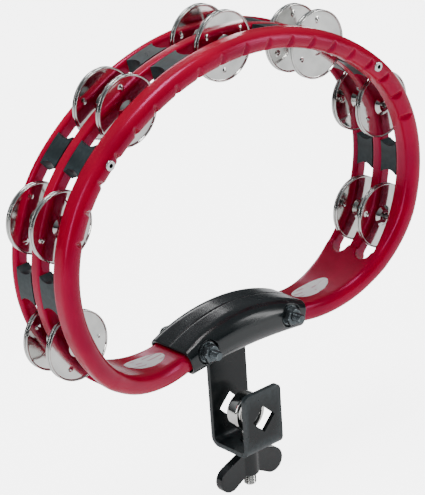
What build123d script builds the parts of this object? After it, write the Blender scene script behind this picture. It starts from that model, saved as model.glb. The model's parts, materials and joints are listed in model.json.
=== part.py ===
from build123d import *
import math
import os

os.makedirs("parts", exist_ok=True)

# ------------------------------------------------------------------ driving dimensions, millimetres
# The origin is the centre of the rod clamp's bore. +Z is up, and the ring stands in the XZ plane
# with its wide striking rim towards -Y. The ring is symmetric about x = 0.

RING_Y = 9.5                    # the ring's mid-plane, half way between its two rows of jingles

# Centreline of the ring: arcs that meet in line, from the top round to the grip
TOP_HEIGHT = 238.5
TOP_RADIUS = 160.0
SIDE_CENTRE = (48.2, 131.0)
CORNER_RADIUS = 70.0
GRIP_HEIGHT = 57.5
GRIP_RADIUS = 165.0             # the grip arches upwards, so it curves the other way

# Cross-section of the ring: three rails with a row's slots between each two. y is from the mid-plane
FRONT_FACE = -31.0
REAR_FACE = 22.0
FRONT_THICKNESS = 12.4
REAR_THICKNESS = 9.6
MID_THICKNESS = 9.0
FRONT_ROUNDING = 5.8
FRONT_SLOT_ROUNDING = 3.6
REAR_ROUNDING = 2.3
MID_ROUNDING = 1.6
ROW_Y = 10.4                    # each row's distance from the mid-plane
SLOT_WIDTH = 13.1
SLOT_END = 262.0                # along the centreline from the top, to the centre of the slot's round end
BAND_START = SLOT_END           # where the three rails become one solid band
FRONT_TAPER_START = 228.0       # where the striking face starts to draw in towards the grip
REAR_TAPER_START = 268.0
BAND_STEPS = 10
RAIL_STEPS = 4

# Grip core, the part of the band inside the black cover
CORE_DEPTH = 32.0
CORE_THICKNESS = 12.4
CORE_ROUNDING = 4.8

# Scraper notches in the striking face
NOTCH_COUNT = 19
NOTCH_PITCH = 18.0
NOTCH_TOP = 3.4                 # each starts this far outside the face's middle
NOTCH_SLOPE = 0.58              # and gets deeper towards the inner edge
NOTCH_FLARE = 0.8               # half width for each millimetre of depth
NOTCH_SPAN = 6.0                # how far the cutter stands out of the face

# Jingles
JINGLE_PITCH = 78.5             # along the centreline
JINGLE_INSET = 2.6              # pins stand this far inside the centreline
PLATE_RADIUS = 21.1
PLATE_SHEET = 0.6
PLATE_GAP = 0.25                # from a pair's middle to each plate's back
LIP_HEIGHT = 1.85
PAN_RADIUS = 19.7               # where the lip's bend ends
DOME_RADIUS = 6.4
DOME_SLOPE = 2.3                # radial width of the dome's flank
DOME_HEIGHT = 2.2
PLATE_HOLE_RADIUS = 2.1
DIMPLES = 3
DIMPLE_CIRCLE = 15.0
DIMPLE_RADIUS = 1.5
DIMPLE_HEIGHT = 0.5
PIN_RADIUS = 1.25
PIN_FRONT = -24.0               # blind end, inside the striking rail
PIN_REAR = 21.2                 # driven just below the rear face

# Spacer blocks in the slots between the jingles
BLOCK_LENGTH = 20.5
BLOCK_THICKNESS = 8.6
BLOCK_CLEARANCE = 0.1
BLOCK_END_RADIUS = 9.5
BLOCK_END_DEPTH = 2.4
RIVET_ALONG = 115.0
RIVET_RADIUS = 2.0
RIVET_HEAD_RADIUS = 3.1
RIVET_HEAD_HEIGHT = 0.9
RIVET_BORE_RADIUS = 1.3
RIVET_LENGTH = 20.0

# Grip cover
COVER_HALF_LENGTH = 47.5        # along the grip's arch, from its middle
COVER_END_THICKNESS = 16.6
COVER_CROWN = 9.6               # extra thickness at the middle
COVER_END_DEPTH = 36.4
COVER_BELLY = 3.8               # extra depth at the middle
COVER_WALL = 1.85
COVER_CHEEK_WALL = 1.35         # thinner at the front and rear, where the core fills the cover
COVER_END_SQUARENESS = 0.34     # corner rounding as a share of the smaller side
COVER_ROUNDER_MIDDLE = 0.08
CORE_CLEARANCE = 0.15
CORE_SPACE_EXCESS = 4.0         # the core's room runs this far out of the cover
POCKET_RADIUS = 7.5
POCKET_FLOOR = 16.6             # distance of both pocket floors from the mid-plane
BOSS_RADIUS = 9.0
BOSS_HEIGHT = 10.0
STATIONS_PER_SIDE = 4

# Grip bolts, M6
BOLT_X = 34.0
BOLT_Z = 55.3
BOLT_RADIUS = 3.0
BOLT_HOLE_RADIUS = 3.2
BOLT_TIP = 28.2                 # from the mid-plane, towards -Y
BOLT_TIP_CHAMFER = 0.7
HEX_FLATS = 10.0
NUT_HEIGHT = 5.0
HEAD_HEIGHT = 4.0
WASHER_RADIUS = 6.2
WASHER_HEIGHT = 1.0

# Clamp bracket, one bent steel strip
STRIP_WIDTH = 30.0
STRIP_THICKNESS = 3.0
STRIP_GAP = 27.0                # between the two plates
STRIP_BOTTOM = -23.0
STRIP_BEND_RADIUS = 6.0         # outside
FRONT_PLATE_TOP = 19.0
FRONT_PLATE_ROUNDING = 4.0
DIAMOND_SIDE = 12.84            # takes a 12.7 mm rod
HEAD_HALF_WIDTH = 40.0          # the T-shaped head inside the grip
HEAD_BOTTOM = 49.0
HEAD_TOP = 60.3
HEAD_ROUNDING = 3.5
SHANK_HOLE_RADIUS = 4.4

# Eye bolt, M8, and its wing nut
EYE_RADIUS = 12.3
EYE_BORE_RADIUS = 6.5
EYE_WIDTH = 10.0
EYE_ROUNDING = 3.2
SHANK_RADIUS = 4.0
SHANK_ROOT = 8.0                # the shank starts this far below the eye's centre
SHANK_END = -50.5
SHANK_CHAMFER = 1.0
NUT_TOP = -23.2
NUT_HUB_HEIGHT = 20.6
NUT_HUB_RADIUS = 6.1
NUT_HUB_CHAMFER = 1.4
NUT_BORE_RADIUS = 4.08
LOBE_X = 17.6                   # centre of each wing's round lobe
LOBE_Z = -40.6
LOBE_RADIUS = 8.3
WING_ROOT_TOP = -26.0
WING_ROOT_BOTTOM = -42.0
WING_TANGENT_TOP = 72.0         # angles on the lobe where the wing's arm meets it
WING_TANGENT_BOTTOM = 232.0
WING_THICKNESS = 5.6

# Labels on the band
LABEL_FROM_MIDDLE = 70.0        # along the centreline from the grip's middle
LABEL_LENGTH = 29.0
LABEL_WIDTH = 15.0
LABEL_THICKNESS = 0.25


# ------------------------------------------------------------------ the ring's centreline
def turn(centre, towards):
    """Outward angle of a point seen from a centre, in degrees from +Z towards +X."""
    return math.degrees(math.atan2(towards[0] - centre[0], towards[1] - centre[1])) % 360


def circle_meeting(centre_a, radius_a, centre_b, radius_b):
    """The lower of the two points that lie at both radii from the two centres."""
    dx = centre_b[0] - centre_a[0]
    dz = centre_b[1] - centre_a[1]
    gap = math.hypot(dx, dz)
    along = (radius_a ** 2 - radius_b ** 2 + gap ** 2) / (2 * gap)
    across = math.sqrt(radius_a ** 2 - along ** 2)
    foot = (centre_a[0] + along * dx / gap, centre_a[1] + along * dz / gap)
    first = (foot[0] - across * dz / gap, foot[1] + across * dx / gap)
    second = (foot[0] + across * dz / gap, foot[1] - across * dx / gap)
    return max(first, second)


TOP_CENTRE = (0.0, TOP_HEIGHT - TOP_RADIUS)
SIDE_RADIUS = TOP_RADIUS - math.dist(TOP_CENTRE, SIDE_CENTRE)
GRIP_CENTRE = (0.0, GRIP_HEIGHT - GRIP_RADIUS)
CORNER_CENTRE = circle_meeting(
    SIDE_CENTRE, SIDE_RADIUS - CORNER_RADIUS, GRIP_CENTRE, GRIP_RADIUS + CORNER_RADIUS
)
TOP_TURN = turn(TOP_CENTRE, SIDE_CENTRE)
SIDE_TURN = turn(SIDE_CENTRE, CORNER_CENTRE)
CORNER_TURN = turn(CORNER_CENTRE, GRIP_CENTRE)

# Each arc: centre, signed radius, outward angle where it starts and where it ends
ARCS = [
    (TOP_CENTRE, TOP_RADIUS, 0.0, TOP_TURN),
    (SIDE_CENTRE, SIDE_RADIUS, TOP_TURN, SIDE_TURN),
    (CORNER_CENTRE, CORNER_RADIUS, SIDE_TURN, CORNER_TURN),
    (GRIP_CENTRE, -GRIP_RADIUS, CORNER_TURN, 180.0),
]
ARC_LENGTHS = [math.radians(end - start) * radius for _, radius, start, end in ARCS]
HALF_LENGTH = sum(ARC_LENGTHS)


def rim_point(along, inset=0.0):
    """x, z and outward angle at a length along the centreline from the top, positive towards +X."""
    rest = abs(along)
    index = 0
    while index < len(ARCS) - 1 and rest > ARC_LENGTHS[index]:
        rest -= ARC_LENGTHS[index]
        index += 1
    centre, radius, start, _ = ARCS[index]
    lean = start + math.degrees(rest / radius)
    x = centre[0] + (radius - inset) * math.sin(math.radians(lean))
    z = centre[1] + (radius - inset) * math.cos(math.radians(lean))
    side = math.copysign(1, along)
    return side * x, z, side * lean


def at_rim(along, inset=0.0, y=0.0):
    """A place on the ring: local X runs along the rim, local Z points outwards, y is from the mid-plane."""
    x, z, lean = rim_point(along, inset)
    return Pos(x, RING_Y + y, z) * Rot(0, lean, 0)


def rim_path(reach):
    """The centreline from -reach over the top to +reach, as arcs."""
    stops = [0.0]
    for length in ARC_LENGTHS:
        stops.append(min(stops[-1] + length, reach))
    half = [stop for index, stop in enumerate(stops) if index == 0 or stop > stops[index - 1]]
    ends = [-stop for stop in reversed(half[1:])] + half
    arcs = []
    for start, end in zip(ends, ends[1:]):
        points = [rim_point(at) for at in (start, (start + end) / 2, end)]
        arcs.append(ThreePointArc(*[(x, RING_Y, z) for x, z, _ in points]))
    return Wire([arc.edge() for arc in arcs])


def section_plane(along):
    """Plane across the ring: its local X is global +Y and its local Y points into the ring."""
    x, z, lean = rim_point(along)
    tangent = (math.cos(math.radians(lean)), 0, -math.sin(math.radians(lean)))
    return Plane(origin=(x, RING_Y, z), x_dir=(0, 1, 0), z_dir=tangent)


def rounded_bar(front, rear, thickness, front_rounding, rear_rounding, rear_thickness=None):
    """Cross-section between two faces, with its own rounding, and thickness if need be, at each face."""
    top = thickness / 2
    rear_top = (rear_thickness or thickness) / 2
    bar = Polygon((front, -top), (rear, -rear_top), (rear, rear_top), (front, top), align=None)
    bar = fillet(bar.vertices().group_by(Axis.X)[0], front_rounding)
    return fillet(bar.vertices().group_by(Axis.X)[-1], rear_rounding)


def ring_bar(section, reach):
    """A section carried over the top of the ring from -reach to +reach."""
    return sweep(section_plane(-reach) * section, path=rim_path(reach))


# ------------------------------------------------------------------ frame
def taper(along, start):
    """Share of the change from the ring's section to the grip core's, gentle at both ends."""
    end = HALF_LENGTH - COVER_HALF_LENGTH
    share = min(max((abs(along) - start) / (end - start), 0.0), 1.0)
    return (share + share * share * (3 - 2 * share)) / 2


def band_section(along, swell=0.0):
    """The band narrows from the ring's full depth to the grip core. swell adds to both its faces."""
    front_share = taper(along, FRONT_TAPER_START)
    rear_share = taper(along, REAR_TAPER_START)

    def between(ring_value, core_value, share):
        return ring_value + (core_value - ring_value) * share

    return section_plane(along) * rounded_bar(
        between(FRONT_FACE, -CORE_DEPTH / 2, front_share),
        between(REAR_FACE, CORE_DEPTH / 2, rear_share),
        between(FRONT_THICKNESS, CORE_THICKNESS, front_share) + 2 * swell,
        between(FRONT_ROUNDING, CORE_ROUNDING, front_share),
        between(REAR_ROUNDING, CORE_ROUNDING, rear_share),
        between(REAR_THICKNESS, CORE_THICKNESS, rear_share) + 2 * swell,
    )


def band(start, swell=0.0):
    """The bottom of the ring as one solid bar, from -start round the grip to +start."""
    right = [start + (HALF_LENGTH - start) * step / BAND_STEPS for step in range(BAND_STEPS + 1)]
    left = [-along for along in reversed(right[:-1])]
    return loft([band_section(along, swell) for along in right + left])


def striking_rail_section(along):
    share = taper(along, FRONT_TAPER_START)
    return section_plane(along) * rounded_bar(
        FRONT_FACE + (-CORE_DEPTH / 2 - FRONT_FACE) * share,
        -ROW_Y - SLOT_WIDTH / 2,
        FRONT_THICKNESS + (CORE_THICKNESS - FRONT_THICKNESS) * share,
        FRONT_ROUNDING + (CORE_ROUNDING - FRONT_ROUNDING) * share,
        FRONT_SLOT_ROUNDING,
    )


def striking_rail():
    """The rail that is struck. It narrows before it meets the band."""
    rail = sweep(striking_rail_section(-FRONT_TAPER_START), path=rim_path(FRONT_TAPER_START))
    reach = BAND_START - FRONT_TAPER_START
    for side in (-1, 1):
        stations = [FRONT_TAPER_START + reach * step / RAIL_STEPS for step in range(RAIL_STEPS + 1)]
        rail += loft([striking_rail_section(side * along) for along in stations])
    return rail


def make_frame():
    slot = SLOT_WIDTH / 2
    middle = rounded_bar(slot - ROW_Y, ROW_Y - slot, MID_THICKNESS, MID_ROUNDING, MID_ROUNDING)
    rear = rounded_bar(ROW_Y + slot, REAR_FACE, REAR_THICKNESS, REAR_ROUNDING, REAR_ROUNDING)
    ends = band(BAND_START)
    for y in (-ROW_Y, ROW_Y):
        for side in (-1, 1):
            ends -= at_rim(side * SLOT_END, y=y) * Cylinder(slot, 2 * FRONT_THICKNESS)
    frame = striking_rail() + ring_bar(middle, BAND_START) + ring_bar(rear, BAND_START) + ends
    for index in range(NOTCH_COUNT):
        frame -= notch((index - NOTCH_COUNT // 2) * NOTCH_PITCH)
    for station in JINGLE_STATIONS.values():
        frame -= pin_shape(station)
    for side in (-1, 1):
        frame -= rivet_hole(side)
        frame -= bolt_hole(side * BOLT_X, RING_Y)
    return frame - bracket_pocket()


def notch(along):
    """V groove in the striking face, deepest at the face's inner edge."""
    flare = NOTCH_SPAN * NOTCH_FLARE
    outline = Polygon((flare, NOTCH_SPAN), (-flare, NOTCH_SPAN), (0, 0), align=None)
    inwards = Plane(origin=(0, 0, 0), x_dir=(1, 0, 0), z_dir=(0, 0, -1))
    groove = extrude(inwards * outline, FRONT_THICKNESS)
    tilt = math.degrees(math.atan(NOTCH_SLOPE))
    return at_rim(along, -NOTCH_TOP, FRONT_FACE) * Rot(tilt, 0, 0) * groove


def bolt_hole(x, y):
    """Cutter for a grip bolt, through everything near y."""
    return Pos(x, y, BOLT_Z) * Rot(90, 0, 0) * Cylinder(BOLT_HOLE_RADIUS, 2 * BOLT_TIP)


# ------------------------------------------------------------------ jingles
ROWS = {"front": -ROW_Y, "rear": ROW_Y}
# Stations run clockwise from the lower left, as seen from the front
JINGLE_STATIONS = {number: (number - 4) * JINGLE_PITCH for number in range(1, 8)}
# How each pair's plates hang when still, as turns about their pin in degrees
REST_TURNS = {
    "front": (0, 73, 104, 27, 86, 84, 40),
    "rear": (20, 105, 40, 36, 85, 50, 35),
}
REAR_PLATE_TURN = 40


def pin_shape(along):
    pin = Cylinder(PIN_RADIUS, PIN_REAR - PIN_FRONT)
    return at_rim(along, JINGLE_INSET, (PIN_FRONT + PIN_REAR) / 2) * Rot(90, 0, 0) * pin


def plate_profile():
    """Half section of a plate: x is the radius, y is the distance from the pair's middle."""
    back = PLATE_GAP
    face = back + PLATE_SHEET
    crown = face + DOME_HEIGHT
    inside = crown - PLATE_SHEET
    top_radius = DOME_RADIUS - DOME_SLOPE
    outline = Polyline(
        (PLATE_HOLE_RADIUS, inside),
        (top_radius, inside),
        (DOME_RADIUS, back),
        (PLATE_RADIUS, back),
        (PLATE_RADIUS, LIP_HEIGHT),
        (PLATE_RADIUS - PLATE_SHEET, LIP_HEIGHT),
        (PAN_RADIUS, face),
        (DOME_RADIUS + PLATE_SHEET / 2, face),
        (top_radius + PLATE_SHEET / 2, crown),
        (PLATE_HOLE_RADIUS, crown),
        close=True,
    )
    return make_face(outline)


def plate_shape():
    """One plate in its own frame: its axis is Z and it faces +Z."""
    upright = Plane(origin=(0, 0, 0), x_dir=(1, 0, 0), z_dir=(0, -1, 0))
    plate = revolve(upright * plate_profile(), Axis.Z)
    top = PLATE_GAP + PLATE_SHEET
    bump = Pos(0, 0, top + DIMPLE_HEIGHT / 2) * Cylinder(DIMPLE_RADIUS, DIMPLE_HEIGHT)
    bump = chamfer(bump.edges().group_by(Axis.Z)[-1], DIMPLE_HEIGHT * 0.6)
    for index in range(DIMPLES):
        plate += Rot(0, 0, 360 / DIMPLES * index) * Pos(DIMPLE_CIRCLE, 0, 0) * bump
    return plate


def plate_at(along, row_y, facing, spin):
    """A plate on its pin. facing is -1 for the pair's front plate and +1 for its rear plate."""
    x, z, _ = rim_point(along, JINGLE_INSET)
    return Pos(x, RING_Y + row_y, z) * Rot(-90 * facing, 0, 0) * Rot(0, 0, spin) * plate_shape()


# ------------------------------------------------------------------ spacer blocks and rivets
BLOCK_STATIONS = {number: (number - 3.5) * JINGLE_PITCH for number in range(1, 7)}
RIVETED_BLOCKS = (2, 5)


def block_shape(along, row_y):
    """A block that follows the slot, with its two ends hollowed towards the jingles."""
    width = SLOT_WIDTH - 2 * BLOCK_CLEARANCE
    centre = at_rim(along, y=row_y)
    bar = ring_bar(Pos(row_y, 0) * Rectangle(width, BLOCK_THICKNESS), SLOT_END)
    block = bar & (centre * Box(BLOCK_LENGTH, 2 * width, 3 * BLOCK_THICKNESS))
    reach = BLOCK_LENGTH / 2 + BLOCK_END_RADIUS - BLOCK_END_DEPTH
    for side in (-1, 1):
        block -= centre * Pos(side * reach, 0, 0) * Cylinder(BLOCK_END_RADIUS, 3 * BLOCK_THICKNESS)
    return block


def rivet_place(side):
    """A rivet runs from the striking face into a front block."""
    return at_rim(side * RIVET_ALONG, y=FRONT_FACE) * Rot(-90, 0, 0)


def rivet_hole(side):
    return rivet_place(side) * Pos(0, 0, RIVET_LENGTH / 2) * Cylinder(RIVET_RADIUS, RIVET_LENGTH)


def rivet_shape(side):
    """Hollow rivet with a rolled head on the striking face."""
    head = Pos(0, 0, -RIVET_HEAD_HEIGHT / 2) * Cylinder(RIVET_HEAD_RADIUS, RIVET_HEAD_HEIGHT)
    head = fillet(head.edges().group_by(Axis.Z)[0], RIVET_HEAD_HEIGHT * 0.7)
    tube = Pos(0, 0, RIVET_LENGTH / 2) * Cylinder(RIVET_RADIUS, RIVET_LENGTH)
    bore = Pos(0, 0, RIVET_LENGTH / 2 - RIVET_RADIUS) * Cylinder(RIVET_BORE_RADIUS, RIVET_LENGTH)
    return rivet_place(side) * (head + tube - bore)


# ------------------------------------------------------------------ grip cover
def grip_loft(half_length, section):
    """Solid along the grip's arch. section gives the shape at a length from the arch's middle."""
    sections = []
    for index in range(-STATIONS_PER_SIDE, STATIONS_PER_SIDE + 1):
        at = half_length * index / STATIONS_PER_SIDE
        sections.append(section_plane(HALF_LENGTH + at) * section(at / half_length))
    return loft(sections)


def cover_solid(wall, stretch=0.0):
    """Swollen grip shape, less a wall all round."""

    def section(share):
        bulge = 1 - share ** 2
        thickness = COVER_END_THICKNESS + COVER_CROWN * bulge - 2 * wall
        depth = COVER_END_DEPTH + COVER_BELLY * bulge - 2 * min(wall, COVER_CHEEK_WALL)
        rounding = min(thickness, depth) * (COVER_END_SQUARENESS + COVER_ROUNDER_MIDDLE * bulge)
        return RectangleRounded(depth, thickness, rounding)

    return grip_loft(COVER_HALF_LENGTH + stretch, section)


def core_space():
    """Room for the grip core inside the cover."""
    depth = CORE_DEPTH + 2 * CORE_CLEARANCE
    thickness = CORE_THICKNESS + 2 * CORE_CLEARANCE
    room = RectangleRounded(depth, thickness, CORE_ROUNDING)
    return grip_loft(COVER_HALF_LENGTH + CORE_SPACE_EXCESS, lambda share: room)


def cover_halves():
    """Front and rear shells of the grip cover, parted at the ring's mid-plane."""
    outer = cover_solid(0)
    shell = outer - cover_solid(COVER_WALL, 1.0)
    core_face = CORE_DEPTH / 2 + CORE_CLEARANCE
    for x in (-BOLT_X, BOLT_X):
        for facing in (-1, 1):
            middle = RING_Y + facing * (core_face + BOSS_HEIGHT / 2)
            boss = Pos(x, middle, BOLT_Z) * Rot(90, 0, 0) * Cylinder(BOSS_RADIUS, BOSS_HEIGHT)
            shell += boss & outer
    shell -= core_space()
    for x in (-BOLT_X, BOLT_X):
        shell -= bolt_hole(x, RING_Y)
        for facing in (-1, 1):
            middle = RING_Y + facing * (POCKET_FLOOR + BOSS_HEIGHT / 2)
            shell -= Pos(x, middle, BOLT_Z) * Rot(90, 0, 0) * Cylinder(POCKET_RADIUS, BOSS_HEIGHT)
    shell -= bracket_pocket()
    parting = Plane(origin=(0, RING_Y, 0), z_dir=(0, 1, 0))
    return split(shell, parting, keep=Keep.BOTTOM), split(shell, parting, keep=Keep.TOP)


# ------------------------------------------------------------------ grip fasteners
def hexagon(height):
    blank = extrude(RegularPolygon(HEX_FLATS / 2, 6, major_radius=False), height)
    cone = Pos(0, 0, height / 2) * Cone(HEX_FLATS * 0.58 + height, HEX_FLATS * 0.5, height)
    return blank & cone


def bolt_shape(x):
    """Hex bolt from the rear, its shank towards -Y."""
    seat = POCKET_FLOOR + WASHER_HEIGHT
    shank = extrude(Circle(BOLT_RADIUS), BOLT_TIP + seat)
    shank = chamfer(shank.edges().group_by(Axis.Z)[-1], BOLT_TIP_CHAMFER)
    head = Rot(180, 0, 0) * hexagon(HEAD_HEIGHT)
    return Pos(x, RING_Y + seat, BOLT_Z) * Rot(90, 0, 0) * (shank + head)


def nut_shape(x):
    nut = hexagon(NUT_HEIGHT) - Cylinder(BOLT_RADIUS, 3 * NUT_HEIGHT)
    return Pos(x, RING_Y - POCKET_FLOOR - WASHER_HEIGHT, BOLT_Z) * Rot(90, 0, 0) * nut


def washer_shape(x, facing):
    washer = Cylinder(WASHER_RADIUS, WASHER_HEIGHT) - Cylinder(BOLT_HOLE_RADIUS, 3)
    return Pos(x, RING_Y + facing * (POCKET_FLOOR + WASHER_HEIGHT / 2), BOLT_Z) * Rot(90, 0, 0) * washer


# ------------------------------------------------------------------ clamp
PLATE_MIDDLE = (STRIP_GAP + STRIP_THICKNESS) / 2


def bracket_pocket():
    """Slot that lets the bracket's head into the grip from below."""
    room = 2 * CORE_CLEARANCE
    head = Pos(0, PLATE_MIDDLE, (HEAD_TOP + HEAD_BOTTOM) / 2) * Box(
        2 * HEAD_HALF_WIDTH + room, STRIP_THICKNESS + room, HEAD_TOP - HEAD_BOTTOM + room
    )
    stem = Pos(0, PLATE_MIDDLE, HEAD_BOTTOM) * Box(
        STRIP_WIDTH + room, STRIP_THICKNESS + room, STRIP_WIDTH
    )
    return head + stem


def diamond(y):
    square = Rectangle(DIAMOND_SIDE, DIAMOND_SIDE, rotation=45)
    across = Plane(origin=(0, y, 0), x_dir=(1, 0, 0), z_dir=(0, -1, 0))
    return extrude(across * square, 2 * STRIP_THICKNESS, both=True)


def make_bracket():
    """U-shaped strip: a short front plate, a bottom with the shank's hole, and a long rear plate."""
    outer = STRIP_GAP / 2 + STRIP_THICKNESS
    inside = STRIP_GAP / 2
    profile = Polyline(
        (-outer, FRONT_PLATE_TOP),
        (-outer, STRIP_BOTTOM),
        (outer, STRIP_BOTTOM),
        (outer, HEAD_TOP),
        (inside, HEAD_TOP),
        (inside, STRIP_BOTTOM + STRIP_THICKNESS),
        (-inside, STRIP_BOTTOM + STRIP_THICKNESS),
        (-inside, FRONT_PLATE_TOP),
        close=True,
    )
    across = Plane(origin=(0, 0, 0), x_dir=(0, 1, 0), z_dir=(1, 0, 0))
    strip = extrude(across * make_face(profile), STRIP_WIDTH / 2, both=True)
    bends = strip.edges().filter_by(Axis.X).group_by(Axis.Z)
    strip = fillet(bends[0], STRIP_BEND_RADIUS)
    inner_bends = strip.edges().filter_by(Axis.X).filter_by(
        lambda edge: abs(edge.center().Z - STRIP_BOTTOM - STRIP_THICKNESS) < 0.01
        and abs(abs(edge.center().Y) - inside) < 0.01
    )
    strip = fillet(inner_bends, STRIP_BEND_RADIUS - STRIP_THICKNESS)
    corners = strip.edges().filter_by(Axis.Y).filter_by(
        lambda edge: abs(edge.center().Z - FRONT_PLATE_TOP) < 0.01
    )
    strip = fillet(corners, FRONT_PLATE_ROUNDING)
    head = Pos(0, PLATE_MIDDLE, (HEAD_TOP + HEAD_BOTTOM) / 2) * Box(
        2 * HEAD_HALF_WIDTH, STRIP_THICKNESS, HEAD_TOP - HEAD_BOTTOM
    )
    strip += fillet(head.edges().filter_by(Axis.Y), HEAD_ROUNDING)
    for x in (-BOLT_X, BOLT_X):
        strip -= bolt_hole(x, PLATE_MIDDLE)
    for y in (-PLATE_MIDDLE, PLATE_MIDDLE):
        strip -= diamond(y)
    return strip - Pos(0, 0, STRIP_BOTTOM) * Cylinder(SHANK_HOLE_RADIUS, 6 * STRIP_THICKNESS)


def make_eye_bolt():
    """Round eye with a barrelled rim, on a straight threaded shank."""
    eye = Rot(90, 0, 0) * Cylinder(EYE_RADIUS, EYE_WIDTH)
    eye = fillet(eye.edges().filter_by(GeomType.CIRCLE), EYE_ROUNDING)
    shank = Pos(0, 0, SHANK_END) * extrude(Circle(SHANK_RADIUS), -SHANK_END - SHANK_ROOT)
    shank = chamfer(shank.edges().group_by(Axis.Z)[0], SHANK_CHAMFER)
    bore = Rot(90, 0, 0) * Cylinder(EYE_BORE_RADIUS, 2 * EYE_WIDTH)
    return eye + shank - bore


def make_wing_nut():
    """Long hub with two drooping wings that end in round lobes."""
    hub = Pos(0, 0, NUT_TOP - NUT_HUB_HEIGHT) * extrude(Circle(NUT_HUB_RADIUS), NUT_HUB_HEIGHT)
    hub = chamfer(hub.edges().group_by(Axis.Z)[0], NUT_HUB_CHAMFER)

    def lobe_edge(angle):
        x = LOBE_X + LOBE_RADIUS * math.cos(math.radians(angle))
        return x, LOBE_Z + LOBE_RADIUS * math.sin(math.radians(angle))

    root_x = NUT_HUB_RADIUS / 2
    arm = Polygon(
        (root_x, WING_ROOT_TOP),
        lobe_edge(WING_TANGENT_TOP),
        (LOBE_X, LOBE_Z),
        lobe_edge(WING_TANGENT_BOTTOM),
        (root_x, WING_ROOT_BOTTOM),
        align=None,
    )
    outline = arm + Pos(LOBE_X, LOBE_Z) * Circle(LOBE_RADIUS)
    wing = extrude(Plane.XZ * outline, WING_THICKNESS / 2, both=True)
    nut = hub + wing + mirror(wing, Plane.YZ)
    return nut - Cylinder(NUT_BORE_RADIUS, -4 * SHANK_END)


# ------------------------------------------------------------------ labels
def make_labels():
    """Oval labels that lie on the inner face of the solid band."""
    swollen = band(BAND_START, LABEL_THICKNESS)
    plain = band(BAND_START)
    labels = []
    for side in (-1, 1):
        oval = extrude(Ellipse(LABEL_LENGTH / 2, LABEL_WIDTH / 2), FRONT_THICKNESS)
        place = at_rim(side * (HALF_LENGTH - LABEL_FROM_MIDDLE)) * Rot(180, 0, 0)
        labels.append((place * oval & swollen) - plain)
    return labels


# ------------------------------------------------------------------ write every node
def write(name, shape):
    export_step(shape, os.path.join("parts", name + ".step"))


def group(shapes):
    return Compound(children=[shape.solid() for shape in shapes])


def main():
    write("frame", make_frame())
    for number, along in JINGLE_STATIONS.items():
        write(f"jingle_pin_{number}", pin_shape(along))
        for row, row_y in ROWS.items():
            spin = REST_TURNS[row][number - 1]
            rear_spin = spin + REAR_PLATE_TURN
            write(f"jingle_{number}_{row}_plate_a", plate_at(along, row_y, -1, spin))
            write(f"jingle_{number}_{row}_plate_b", plate_at(along, row_y, 1, rear_spin))
    for number, along in BLOCK_STATIONS.items():
        for row, row_y in ROWS.items():
            block = block_shape(along, row_y)
            if row == "front" and number in RIVETED_BLOCKS:
                block -= rivet_hole(math.copysign(1, along))
            write(f"spacer_block_{number}_{row}", block)
    write("tubular_rivets", group([rivet_shape(-1), rivet_shape(1)]))
    front, rear = cover_halves()
    write("grip_cover_front", front)
    write("grip_cover_rear", rear)
    write("grip_bolts", group([bolt_shape(x) for x in (-BOLT_X, BOLT_X)]))
    write("grip_nuts", group([nut_shape(x) for x in (-BOLT_X, BOLT_X)]))
    washers = [washer_shape(x, facing) for x in (-BOLT_X, BOLT_X) for facing in (-1, 1)]
    write("grip_washers", group(washers))
    write("clamp_bracket", make_bracket())
    write("eye_bolt", make_eye_bolt())
    write("wing_nut", make_wing_nut())
    write("labels", group(make_labels()))


main()
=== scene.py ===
import json
import math

import bmesh
import bpy
from mathutils import Matrix, Vector


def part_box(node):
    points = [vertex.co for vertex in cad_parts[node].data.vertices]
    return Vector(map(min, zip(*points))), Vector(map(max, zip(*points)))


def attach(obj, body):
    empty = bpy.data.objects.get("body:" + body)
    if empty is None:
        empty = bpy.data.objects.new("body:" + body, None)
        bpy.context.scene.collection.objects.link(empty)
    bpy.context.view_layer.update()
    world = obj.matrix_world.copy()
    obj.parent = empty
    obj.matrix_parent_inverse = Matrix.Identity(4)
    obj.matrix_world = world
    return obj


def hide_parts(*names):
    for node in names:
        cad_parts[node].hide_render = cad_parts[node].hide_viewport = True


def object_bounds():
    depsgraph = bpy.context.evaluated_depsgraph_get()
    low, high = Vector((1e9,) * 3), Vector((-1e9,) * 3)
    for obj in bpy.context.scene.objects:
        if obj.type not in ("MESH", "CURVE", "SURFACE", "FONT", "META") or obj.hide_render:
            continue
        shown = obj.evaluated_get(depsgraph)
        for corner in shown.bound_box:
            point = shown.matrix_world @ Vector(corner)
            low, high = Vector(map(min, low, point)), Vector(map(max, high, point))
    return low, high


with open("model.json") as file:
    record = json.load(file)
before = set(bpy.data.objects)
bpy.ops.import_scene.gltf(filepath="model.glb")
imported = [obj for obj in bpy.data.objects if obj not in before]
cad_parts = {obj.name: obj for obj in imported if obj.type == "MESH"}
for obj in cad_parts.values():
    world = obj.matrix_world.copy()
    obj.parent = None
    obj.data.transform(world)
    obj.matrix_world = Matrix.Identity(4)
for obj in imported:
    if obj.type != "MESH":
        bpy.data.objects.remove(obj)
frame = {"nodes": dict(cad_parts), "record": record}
cad_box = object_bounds()

# ------------------------------------------------------------------ driving dimensions, metres
MM = 0.001
JINGLES = range(1, 8)
BLOCKS = range(1, 7)
ROWS = ("front", "rear")

# How each pair's plates hang when still, as turns about their pin in degrees
REST_TURNS = {
    "front": (0, 73, 104, 27, 86, 84, 40),
    "rear": (20, 105, 40, 36, 85, 50, 35),
}
REAR_PLATE_TURN = 40

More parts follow.
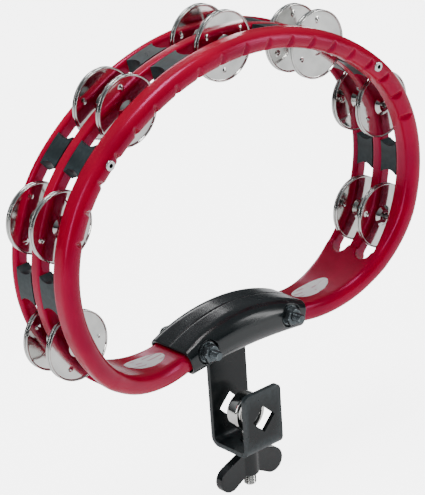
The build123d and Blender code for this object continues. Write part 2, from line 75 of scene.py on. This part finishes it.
# Jingle plate, pressed from sheet
PLATE_RADIUS = 21.1 * MM
PLATE_SHEET = 0.6 * MM
PLATE_BACK = 0.25 * MM
LIP_HEIGHT = 1.85 * MM
PLATE_DISH = 0.35 * MM          # how much higher the pan is at the dome than at the lip
DOME_RADIUS = 6.4 * MM
DOME_TOP_RADIUS = 4.1 * MM
DOME_HEIGHT = 2.2 * MM
PLATE_HOLE_RADIUS = 2.1 * MM
PLATE_ROUNDING = 0.5 * MM
PLATE_STEP = 0.7 * MM           # spacing of the points along the section
DIMPLES = 3
DIMPLE_CIRCLE = 15.0 * MM
DIMPLE_REACH = 3.0 * MM
PLATE_SEGMENTS = 160

# Softened edges of CAD nodes, as bevel widths, and skins of mouldings, as (voxel, smoothing rounds)
BLOCK_EDGE = 0.6 * MM
RIVET_EDGE = 0.2 * MM
WASHER_EDGE = 0.15 * MM
BRACKET_EDGE = 0.5 * MM
FRAME_SKIN = (0.62 * MM, 6)
COVER_SKIN = (0.45 * MM, 6)
WING_NUT_SKIN = (0.3 * MM, 10)

# Fasteners
GRIP_BOLT_RADIUS = 3.0 * MM
GRIP_BOLT_PITCH = 1.0 * MM
GRIP_THREAD_DEPTH = 0.35 * MM
GRIP_BOLT_CHAMFER = 0.6 * MM
HEX_FLATS = 10.0 * MM
HEX_CHAMFER = 0.9 * MM
BOLT_HEAD_HEIGHT = 4.0 * MM
EYE_BORE_RADIUS = 6.5 * MM
EYE_ROUNDING = 4.0 * MM
SHANK_RADIUS = 4.0 * MM
SHANK_PITCH = 1.25 * MM
SHANK_THREAD_DEPTH = 0.5 * MM
SHANK_CHAMFER = 1.0 * MM
THREAD_TOP = -19.0 * MM         # the shank is plain above this height

# Camera
CAMERA_TARGET = Vector((-9.4, 9.5, 109.9)) * MM
CAMERA_AZIMUTH = 40.55
CAMERA_ELEVATION = 22.89
CAMERA_ROLL = -4.02
CAMERA_DISTANCE = 1.345
CAMERA_LENS = 163.6
CAMERA_SENSOR = 36.0

# Stage. Each light is its name, place, size and power.
LIGHTS = (
    ("overhead", (0.0, 0.0, 1.3), (0.5, 0.35), 10),
    ("left_box", (-1.4, -0.2, 0.75), (0.2, 1.2), 8),
    ("right_box", (1.1, -1.1, 0.5), (0.2, 1.1), 6),
    ("back_box", (0.5, 1.5, 0.9), (1.0, 0.3), 5),
)
SKY_STRENGTH = 0.5
FLOOR_SIZE = 6.0                # half of its side
FLOOR_DROP = 0.004              # how far it is below the part
FLOOR_GLOW = 0.35                # what the part itself is lit and reflected by
FLOOR_SEEN_GLOW = 5.0           # what the camera sees directly


# ------------------------------------------------------------------ procedural materials
class Shader:
    """A Principled material under construction, with the few node helpers that the surfaces need."""

    def __init__(self, name, colour, roughness, metallic=0.0, coat=0.0, coat_roughness=0.05):
        self.material = bpy.data.materials.new(name)
        self.material.use_nodes = True
        self.tree = self.material.node_tree
        self.shader = self.tree.nodes["Principled BSDF"]
        self.set("Base Color", (*colour, 1.0))
        self.set("Roughness", roughness)
        self.set("Metallic", metallic)
        self.set("Coat Weight", coat)
        self.set("Coat Roughness", coat_roughness)
        self.coordinates = self.tree.nodes.new("ShaderNodeTexCoord").outputs["Object"]
        self.normal = None

    def set(self, socket, value):
        self.shader.inputs[socket].default_value = value

    def link(self, output, socket):
        self.tree.links.new(output, socket)

    def noise(self, scale, detail=4.0, stretch=None):
        """Noise over the piece, scale in cells per metre."""
        node = self.tree.nodes.new("ShaderNodeTexNoise")
        node.inputs["Scale"].default_value = scale
        node.inputs["Detail"].default_value = detail
        source = self.coordinates
        if stretch:
            mapping = self.tree.nodes.new("ShaderNodeMapping")
            mapping.inputs["Scale"].default_value = stretch
            self.link(source, mapping.inputs["Vector"])
            source = mapping.outputs["Vector"]
        self.link(source, node.inputs["Vector"])
        return node.outputs["Fac"]

    def ramp(self, factor, low, high, start=0.3, end=0.7):
        """Factor from start to end becomes a value from low to high."""
        node = self.tree.nodes.new("ShaderNodeMapRange")
        for name, value in (("From Min", start), ("From Max", end), ("To Min", low), ("To Max", high)):
            node.inputs[name].default_value = value
        self.link(factor, node.inputs["Value"])
        return node.outputs["Result"]

    def colours(self, factor, stops):
        """Factor becomes a colour. stops are (position, colour)."""
        node = self.tree.nodes.new("ShaderNodeValToRGB")
        elements = node.color_ramp.elements
        while len(elements) < len(stops):
            elements.new(0.5)
        for element, (position, colour) in zip(elements, stops):
            element.position = position
            element.color = (*colour, 1.0)
        self.link(factor, node.inputs["Fac"])
        return node.outputs["Color"]

    def mix(self, factor, first, second):
        node = self.tree.nodes.new("ShaderNodeMix")
        node.data_type = "RGBA"
        self.link(factor, node.inputs[0])
        self.link(first, node.inputs[6])
        if isinstance(second, tuple):
            node.inputs[7].default_value = (*second, 1.0)
        else:
            self.link(second, node.inputs[7])
        return node.outputs[2]

    def maths(self, operation, first, second=None):
        node = self.tree.nodes.new("ShaderNodeMath")
        node.operation = operation
        self.link(first, node.inputs[0])
        if isinstance(second, (int, float)):
            node.inputs[1].default_value = second
        elif second is not None:
            self.link(second, node.inputs[1])
        return node.outputs[0]

    def bump(self, height, distance, strength=1.0):
        """Adds relief on top of what is there already."""
        node = self.tree.nodes.new("ShaderNodeBump")
        node.inputs["Strength"].default_value = strength
        node.inputs["Distance"].default_value = distance
        self.link(height, node.inputs["Height"])
        if self.normal:
            self.link(self.normal, node.inputs["Normal"])
        self.normal = node.outputs["Normal"]

    def edges(self):
        """1 on convex edges, 0 on flats."""
        pointiness = self.tree.nodes.new("ShaderNodeNewGeometry").outputs["Pointiness"]
        return self.ramp(pointiness, 0.0, 1.0, 0.515, 0.58)

    def done(self, colour=None, roughness=None):
        if colour is not None:
            self.link(colour, self.shader.inputs["Base Color"])
        if roughness is not None:
            self.link(roughness, self.shader.inputs["Roughness"])
        if self.normal:
            self.link(self.normal, self.shader.inputs["Normal"])
        return self.material


def red_plastic():
    """Glossy moulded plastic: flow marks in its colour, faint orange peel and rubbed patches."""
    deep, bright = (0.28, 0.0, 0.014), (0.46, 0.0, 0.026)
    surface = Shader("red_plastic", bright, 0.24)
    surface.set("Specular Tint", (1.0, 0.2, 0.62, 1.0))
    flow = surface.noise(22, 5, stretch=(1, 2.4, 1))
    peel = surface.noise(900, 2)
    surface.bump(peel, 0.00004, 0.35)
    surface.bump(surface.noise(90, 3), 0.00012, 0.25)
    rubbed = surface.ramp(surface.noise(60, 6), 0.19, 0.27)
    return surface.done(surface.colours(flow, [(0.25, deep), (0.7, bright)]), rubbed)


def plate_steel():
    """Mirror-polished sheet with circular polishing marks, finger haze and a few deeper rings."""
    surface = Shader("jingle_steel", (0.6, 0.6, 0.58), 0.06, metallic=1.0)
    radius = surface.tree.nodes.new("ShaderNodeAttribute")
    radius.attribute_name = "radius"
    rings = surface.tree.nodes.new("ShaderNodeTexNoise")
    rings.noise_dimensions = "1D"
    rings.inputs["Scale"].default_value = 2600
    rings.inputs["Detail"].default_value = 3
    surface.link(radius.outputs["Fac"], rings.inputs["W"])
    surface.bump(rings.outputs["Fac"], 0.00002, 0.3)
    surface.bump(surface.noise(160, 2), 0.00008, 0.35)
    haze = surface.noise(70, 5)
    tone = surface.colours(haze, [(0.3, (0.52, 0.52, 0.505)), (0.62, (0.7, 0.7, 0.68))])
    return surface.done(tone, surface.ramp(haze, 0.035, 0.13))


def bright_steel(name, colour, roughness, scratch):
    """Plated or drawn steel with fine scratches along its length and slightly duller patches."""
    surface = Shader(name, colour, roughness, metallic=1.0)
    lines = surface.noise(500, 4, stretch=(1, 1, scratch))
    surface.bump(lines, 0.00003, 0.4)
    patches = surface.noise(140, 5)
    dull = tuple(0.72 * part for part in colour)
    tone = surface.colours(patches, [(0.3, dull), (0.65, colour)])
    return surface.done(tone, surface.ramp(patches, roughness * 0.7, roughness * 1.8))


def black_finish(name, colour, edge, roughness, grain, depth, coat=0.0, metallic=0.0):
    """Black paint or moulded plastic: grain, uneven sheen, and lighter worn edges."""
    surface = Shader(name, colour, roughness, metallic=metallic, coat=coat, coat_roughness=0.16)
    surface.set("Specular IOR Level", 0.3)
    surface.bump(surface.noise(grain, 3), depth, 0.5)
    sheen = surface.noise(80, 5)
    lighter = tuple(1.7 * part for part in colour)
    tone = surface.colours(sheen, [(0.3, colour), (0.75, lighter)])
    worn = surface.maths("MULTIPLY", surface.edges(), surface.ramp(surface.noise(420, 4), 0.35, 1.0))
    return surface.done(surface.mix(worn, tone, edge), surface.ramp(sheen, roughness * 0.8, roughness * 1.3))


def label_film():
    """Plain white film with a few faint red bars that say nothing."""
    surface = Shader("label_film", (0.9, 0.9, 0.9), 0.5)
    surface.bump(surface.noise(600, 2), 0.00003, 0.3)
    bars = surface.tree.nodes.new("ShaderNodeTexWave")
    bars.bands_direction = "Y"
    bars.inputs["Scale"].default_value = 78
    bars.inputs["Distortion"].default_value = 0.4
    surface.link(surface.coordinates, bars.inputs["Vector"])
    patches = surface.ramp(surface.noise(130, 1), 0.0, 1.0, 0.5, 0.56)
    ink = surface.maths("MULTIPLY", surface.ramp(bars.outputs["Fac"], 0, 0.5, 0.7, 0.8), patches)
    fade = surface.colours(surface.noise(200, 3), [(0.3, (0.88, 0.87, 0.88)), (0.6, (0.95, 0.95, 0.95))])
    return surface.done(surface.mix(ink, fade, (0.5, 0.05, 0.16)), surface.ramp(surface.noise(90), 0.4, 0.6))


RED = red_plastic()
PLATE_STEEL = plate_steel()
PIN_STEEL = bright_steel("pin_steel", (0.34, 0.34, 0.34), 0.26, 0.1)
RIVET_STEEL = bright_steel("rivet_steel", (0.74, 0.75, 0.75), 0.16, 0.3)
EYE_STEEL = bright_steel("eye_bolt_steel", (0.8, 0.8, 0.77), 0.11, 0.2)
BLOCK_BLACK = black_finish("block_black", (0.006, 0.010, 0.011), (0.03, 0.045, 0.05), 0.34, 700, 0.00005)
COVER_BLACK = black_finish(
    "cover_black", (0.004, 0.007, 0.008), (0.007, 0.012, 0.014), 0.22, 1100, 0.00001, coat=0.4
)
BRACKET_BLACK = black_finish(
    "bracket_black", (0.004, 0.006, 0.007), (0.05, 0.065, 0.07), 0.3, 1300, 0.00006, coat=0.05
)
BOLT_BLACK = black_finish(
    "bolt_black", (0.05, 0.06, 0.065), (0.2, 0.23, 0.24), 0.2, 900, 0.00003, metallic=0.8
)
WING_BLACK = black_finish(
    "wing_nut_black", (0.006, 0.008, 0.009), (0.05, 0.06, 0.06), 0.16, 420, 0.00007, coat=0.35
)
LABEL = label_film()


# ------------------------------------------------------------------ mesh tools
def add_piece(name, bm, material, body, *nodes, smooth_angle=40):
    """Finishes a bmesh as a piece."""
    bmesh.ops.recalc_face_normals(bm, faces=bm.faces)
    mesh = bpy.data.meshes.new(name)
    bm.to_mesh(mesh)
    bm.free()
    return place_mesh(name, mesh, material, body, *nodes, smooth_angle=smooth_angle)


def place_mesh(name, mesh, material, body, *nodes, smooth_angle=40):
    """Makes a mesh in the row frame a piece that rides on a body and stands for its CAD nodes."""
    piece = bpy.data.objects.new(name, mesh)
    bpy.context.scene.collection.objects.link(piece)
    mesh.materials.append(material)
    mesh.shade_smooth()
    mesh.set_sharp_from_angle(angle=math.radians(smooth_angle))
    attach(piece, body)
    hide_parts(*nodes)
    return piece


def joined(bm, rings, closed=False):
    """Walls between rings of points, with flat ends, or joined end to end if closed."""
    loops = [[bm.verts.new(point) for point in ring] for ring in rings]
    pairs = list(zip(loops, loops[1:]))
    if closed:
        pairs.append((loops[-1], loops[0]))
    else:
        bm.faces.new(loops[0])
        bm.faces.new(loops[-1])
    for first, second in pairs:
        for index in range(len(first)):
            after = (index + 1) % len(first)
            bm.faces.new((first[index], first[after], second[after], second[index]))


def turned(bm, profile, segments, place=None, closed=False, shape=None):
    """Turns a profile of (radius, z) about Z. shape(radius, angle, z) may change each radius."""
    place = place or Matrix.Identity(4)
    rings = []
    for radius, z in profile:
        ring = []
        for index in range(segments):
            angle = 2 * math.pi * index / segments
            here = shape(radius, angle, z) if shape else radius
            ring.append(place @ Vector((here * math.cos(angle), here * math.sin(angle), z)))
        rings.append(ring)
    joined(bm, rings, closed)


def rounded(points, radius, steps=5):
    """A closed outline with each corner rounded, as far as its sides allow."""
    outline = []
    count = len(points)
    for index, corner in enumerate(points):
        here = Vector(corner)
        before = Vector(points[index - 1]) - here
        after = Vector(points[(index + 1) % count]) - here
        turn = before.angle(after)
        reach = min(radius / math.tan(turn / 2), before.length * 0.45, after.length * 0.45)
        start = here + before.normalized() * reach
        end = here + after.normalized() * reach
        for step in range(steps + 1):
            share = step / steps
            curve = start.lerp(here, share).lerp(here.lerp(end, share), share)
            outline.append((curve.x, curve.y))
    return outline


def divided(outline, spacing):
    """A closed outline with its long sides cut into steps."""
    points = []
    for index, start in enumerate(outline):
        end = outline[(index + 1) % len(outline)]
        pieces = max(1, round(math.dist(start, end) / spacing))
        for step in range(pieces):
            share = step / pieces
            points.append(tuple(a + (b - a) * share for a, b in zip(start, end)))
    return points


def along_y(x, y, z, facing=-1):
    """Place whose local Z points along -Y, or along +Y where facing is 1."""
    return Matrix.Translation((x, y, z)) @ Matrix.Rotation(math.radians(-90 * facing), 4, "X")


def moulded(name, node, material, body, voxel, rounds):
    """A CAD node as one even skin with all its edges softened, as a moulding or casting has."""
    source = bpy.data.objects.new(name + "_source", frame["nodes"][node].data.copy())
    bpy.context.scene.collection.objects.link(source)
    remesh = source.modifiers.new("skin", "REMESH")
    remesh.mode = "VOXEL"
    remesh.voxel_size = voxel
    soften = source.modifiers.new("soften", "SMOOTH")
    soften.factor = 0.5
    soften.iterations = rounds
    bpy.context.view_layer.update()
    evaluated = source.evaluated_get(bpy.context.evaluated_depsgraph_get())
    mesh = bpy.data.meshes.new_from_object(evaluated)
    mesh.name = name
    mesh.materials.clear()
    bpy.data.objects.remove(source)
    return place_mesh(name, mesh, material, body, node, smooth_angle=60)


def finished(node, material, edge=0.0, segments=3):
    """A CAD node that keeps its shape and takes a material, with bevelled edges where an edge width is
    given.
    """
    piece = frame["nodes"][node]
    piece.data.materials.clear()
    piece.data.materials.append(material)
    if edge:
        flats = piece.modifiers.new("flats", "DECIMATE")
        flats.decimate_type = "DISSOLVE"
        flats.angle_limit = math.radians(1.5)
        bevel = piece.modifiers.new("edges", "BEVEL")
        bevel.width = edge
        bevel.segments = segments
        bevel.limit_method = "ANGLE"
        bevel.angle_limit = math.radians(38)
        bevel.harden_normals = True
    return piece


# ------------------------------------------------------------------ jingles
def plate_outline():
    """Section of one plate: upturned lip, slightly dished pan and raised dome, all one sheet."""
    face = PLATE_BACK + PLATE_SHEET
    crown = face + DOME_HEIGHT
    inside = crown - PLATE_SHEET
    half = PLATE_SHEET / 2
    corners = [
        (PLATE_HOLE_RADIUS, inside),
        (DOME_TOP_RADIUS, inside),
        (DOME_RADIUS, PLATE_BACK),
        (PLATE_RADIUS, PLATE_BACK),
        (PLATE_RADIUS, LIP_HEIGHT),
        (PLATE_RADIUS - PLATE_SHEET, LIP_HEIGHT),
        (PLATE_RADIUS - 3 * half, face),
        (DOME_RADIUS + half, face + PLATE_DISH),
        (DOME_TOP_RADIUS + half, crown),
        (PLATE_HOLE_RADIUS, crown),
    ]
    return divided(rounded(corners, PLATE_ROUNDING, 4), PLATE_STEP)


def dimple_height(distance):
    """Relief of a punched dimple: a raised ring with a small pit in its middle."""
    ring = 0.5 * math.exp(-((distance / MM - 0.95) / 0.5) ** 2)
    pit = 0.45 * math.exp(-(distance / MM / 0.5) ** 2)
    return (ring - pit) * MM


def plate_mesh():
    """One jingle plate about its own axis, facing +Z."""
    bm = bmesh.new()
    turned(bm, plate_outline(), PLATE_SEGMENTS, closed=True)
    for vertex in bm.verts:
        for index in range(DIMPLES):
            angle = 2 * math.pi * index / DIMPLES
            centre = Vector((math.cos(angle), math.sin(angle))) * DIMPLE_CIRCLE
            distance = (vertex.co.xy - centre).length
            if distance < DIMPLE_REACH:
                vertex.co.z += dimple_height(distance)
    bmesh.ops.recalc_face_normals(bm, faces=bm.faces)
    mesh = bpy.data.meshes.new("jingle_plate")
    bm.to_mesh(mesh)
    bm.free()
    reach = mesh.attributes.new("radius", "FLOAT", "POINT")
    for vertex, value in zip(mesh.vertices, reach.data):
        value.value = vertex.co.xy.length
    return mesh


def make_jingles():
    mesh = plate_mesh()
    joints = {joint["name"]: joint for joint in frame["record"]["behaviour"]["joints"]}
    for number in JINGLES:
        finished(f"jingle_pin_{number}", PIN_STEEL)
        for row in ROWS:
            pin = Vector(joints[f"jingle_{number}_{row}_spin"]["pos_m"])
            turn = REST_TURNS[row][number - 1]
            for side, facing, extra in (("a", -1, 0), ("b", 1, REAR_PLATE_TURN)):
                spin = Matrix.Rotation(math.radians(turn + extra), 4, "Z")
                name = f"jingle_{number}_{row}_{side}"
                node = f"jingle_{number}_{row}_plate_{side}"
                placed = mesh.copy()
                placed.transform(along_y(*pin, facing) @ spin)
                place_mesh("pressed_" + name, placed, PLATE_STEEL, name, node)


# ------------------------------------------------------------------ frame, blocks, rivets, labels
def make_ring():
    moulded("ring_frame", "frame", RED, "ring", *FRAME_SKIN)
    for number in BLOCKS:
        for row in ROWS:
            finished(f"spacer_block_{number}_{row}", BLOCK_BLACK, BLOCK_EDGE, 4)
    finished("tubular_rivets", RIVET_STEEL, RIVET_EDGE)
    finished("labels", LABEL)


# ------------------------------------------------------------------ fasteners
def hex_radius(angle):
    """Distance from a hexagon's middle to its side, with a corner at angle 0."""
    return HEX_FLATS / 2 / math.cos(angle % (math.pi / 3) - math.pi / 6)


def hexed(radius, angle, z):
    return min(radius, hex_radius(angle))


def thread(pitch, depth, tip, chamfer):
    """Shape of a screw thread whose plain end is at z = tip."""

    def shape(radius, angle, z):
        turn = (z / pitch - angle / (2 * math.pi)) % 1
        valley = depth * (1 - abs(2 * turn - 1))
        return min(radius - valley, radius - chamfer + abs(tip - z))

    return shape


def steps(start, end, spacing):
    count = max(2, math.ceil(abs(end - start) / spacing))
    return [start + (end - start) * index / count for index in range(count + 1)]


def make_grip_fasteners():
    corner = HEX_FLATS / math.sqrt(3)
    low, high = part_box("grip_nuts")
    bolt_x = high[0] - corner
    bolt_z = (low[2] + high[2]) / 2
    bolt_low, bolt_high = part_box("grip_bolts")
    nut_height = high[1] - low[1]
    hex_profile = [
        (corner - 2 * HEX_CHAMFER, 0.0),
        (corner - HEX_CHAMFER, HEX_CHAMFER / 3),
        (corner, HEX_CHAMFER),
    ]
    for side, x in (("left", -bolt_x), ("right", bolt_x)):
        nut = bmesh.new()
        top = [(radius, nut_height - z) for radius, z in reversed(hex_profile)]
        turned(nut, hex_profile + top, 96, along_y(x, high[1], bolt_z), shape=hexed)
        add_piece(f"grip_nut_{side}", nut, BOLT_BLACK, "ring", "grip_nuts", smooth_angle=24)
        bolt = bmesh.new()
        head_end = bolt_high[1] - BOLT_HEAD_HEIGHT
        length = head_end - bolt_low[1]
        rod = [(GRIP_BOLT_RADIUS, z) for z in steps(0, length, GRIP_BOLT_PITCH / 6)]
        shape = thread(GRIP_BOLT_PITCH, GRIP_THREAD_DEPTH, length, GRIP_BOLT_CHAMFER)
        turned(bolt, rod, 48, along_y(x, head_end, bolt_z), shape=shape)
        head = [(radius, BOLT_HEAD_HEIGHT - z) for radius, z in hex_profile] + [(corner, 0.0)]
        turned(bolt, head, 96, along_y(x, head_end, bolt_z, 1), shape=hexed)
        add_piece(f"grip_bolt_{side}", bolt, BOLT_BLACK, "ring", "grip_bolts", smooth_angle=24)
    finished("grip_washers", BOLT_BLACK, WASHER_EDGE)


# ------------------------------------------------------------------ grip and clamp
def make_eye_bolt():
    low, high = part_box("eye_bolt")
    outside, half = high[2], high[1]
    corners = [
        (EYE_BORE_RADIUS, -half),
        (outside, -half),
        (outside, half),
        (EYE_BORE_RADIUS, half),
    ]
    bm = bmesh.new()
    turned(bm, rounded(corners, EYE_ROUNDING, 12), 128, along_y(0, 0, 0), closed=True)
    root = -(EYE_BORE_RADIUS + outside) / 2
    cut = thread(SHANK_PITCH, SHANK_THREAD_DEPTH, low[2], SHANK_CHAMFER)

    def shape(radius, angle, z):
        return cut(radius, angle, z) if z < THREAD_TOP else radius

    rod = [(SHANK_RADIUS, z) for z in steps(low[2], root, SHANK_PITCH / 8)]
    turned(bm, rod, 64, shape=shape)
    add_piece("eye_bolt_polished", bm, EYE_STEEL, "eye_bolt", "eye_bolt", smooth_angle=35)


def make_grip_and_clamp():
    moulded("grip_shell_front", "grip_cover_front", COVER_BLACK, "ring", *COVER_SKIN)
    moulded("grip_shell_rear", "grip_cover_rear", COVER_BLACK, "ring", *COVER_SKIN)
    moulded("wing_nut_cast", "wing_nut", WING_BLACK, "wing_nut", *WING_NUT_SKIN)
    finished("clamp_bracket", BRACKET_BLACK, BRACKET_EDGE)
    make_grip_fasteners()
    make_eye_bolt()


# ------------------------------------------------------------------ stage
def add_floor():
    bm = bmesh.new()
    bmesh.ops.create_grid(bm, x_segments=1, y_segments=1, size=FLOOR_SIZE)
    mesh = bpy.data.meshes.new("floor")
    bm.to_mesh(mesh)
    bm.free()
    floor = bpy.data.objects.new("floor", mesh)
    floor.location.z = cad_box[0][2] - FLOOR_DROP
    bpy.context.scene.collection.objects.link(floor)
    surface = Shader("floor_paper", (0.93, 0.93, 0.93), 0.9)
    surface.set("Specular IOR Level", 0.1)
    surface.set("Emission Color", (1.0, 1.0, 1.0, 1.0))
    seen = surface.tree.nodes.new("ShaderNodeLightPath").outputs["Is Camera Ray"]
    glow = surface.ramp(seen, FLOOR_GLOW, FLOOR_SEEN_GLOW, 0.0, 1.0)
    surface.link(glow, surface.shader.inputs["Emission Strength"])
    tone = surface.colours(surface.noise(3, 2), [(0.3, (0.91, 0.91, 0.91)), (0.7, (0.95, 0.95, 0.95))])
    mesh.materials.append(surface.done(tone))


def add_light(name, place, size, power):
    """A rectangular lamp that faces the middle of the part."""
    lamp = bpy.data.lights.new(name, "AREA")
    lamp.shape = "RECTANGLE"
    lamp.size, lamp.size_y = size
    lamp.energy = power
    light = bpy.data.objects.new(name, lamp)
    light.location = place
    light.rotation_euler = (CAMERA_TARGET - Vector(place)).to_track_quat("-Z", "Y").to_euler()
    bpy.context.scene.collection.objects.link(light)


def add_lights():
    for light in LIGHTS:
        add_light(*light)
    world = bpy.data.worlds.new("studio")
    world.use_nodes = True
    tree = world.node_tree
    direction = tree.nodes.new("ShaderNodeTexCoord").outputs["Generated"]
    split = tree.nodes.new("ShaderNodeSeparateXYZ")
    tree.links.new(direction, split.inputs[0])
    ramp = tree.nodes.new("ShaderNodeValToRGB")
    elements = ramp.color_ramp.elements
    elements[0].position, elements[0].color = 0.05, (0.03, 0.035, 0.04, 1.0)
    elements[1].position, elements[1].color = 0.75, (0.7, 0.73, 0.76, 1.0)
    tree.links.new(split.outputs["Z"], ramp.inputs["Fac"])
    background = tree.nodes["Background"]
    tree.links.new(ramp.outputs["Color"], background.inputs["Color"])
    background.inputs["Strength"].default_value = SKY_STRENGTH
    bpy.context.scene.world = world


def add_camera():
    turn, rise = math.radians(CAMERA_AZIMUTH), math.radians(CAMERA_ELEVATION)
    back = Vector(
        (-math.sin(turn) * math.cos(rise), -math.cos(turn) * math.cos(rise), math.sin(rise))
    )
    data = bpy.data.cameras.new("camera")
    data.lens = CAMERA_LENS
    data.sensor_fit = "VERTICAL"
    data.sensor_height = CAMERA_SENSOR
    camera = bpy.data.objects.new("camera", data)
    level = back.to_track_quat("Z", "Y").to_matrix().to_4x4()
    roll = Matrix.Rotation(math.radians(CAMERA_ROLL), 4, "Z")
    camera.matrix_world = Matrix.Translation(CAMERA_TARGET + back * CAMERA_DISTANCE) @ level @ roll
    bpy.context.scene.collection.objects.link(camera)
    bpy.context.scene.camera = camera


add_camera()
make_ring()
make_jingles()
make_grip_and_clamp()
add_floor()
add_lights()
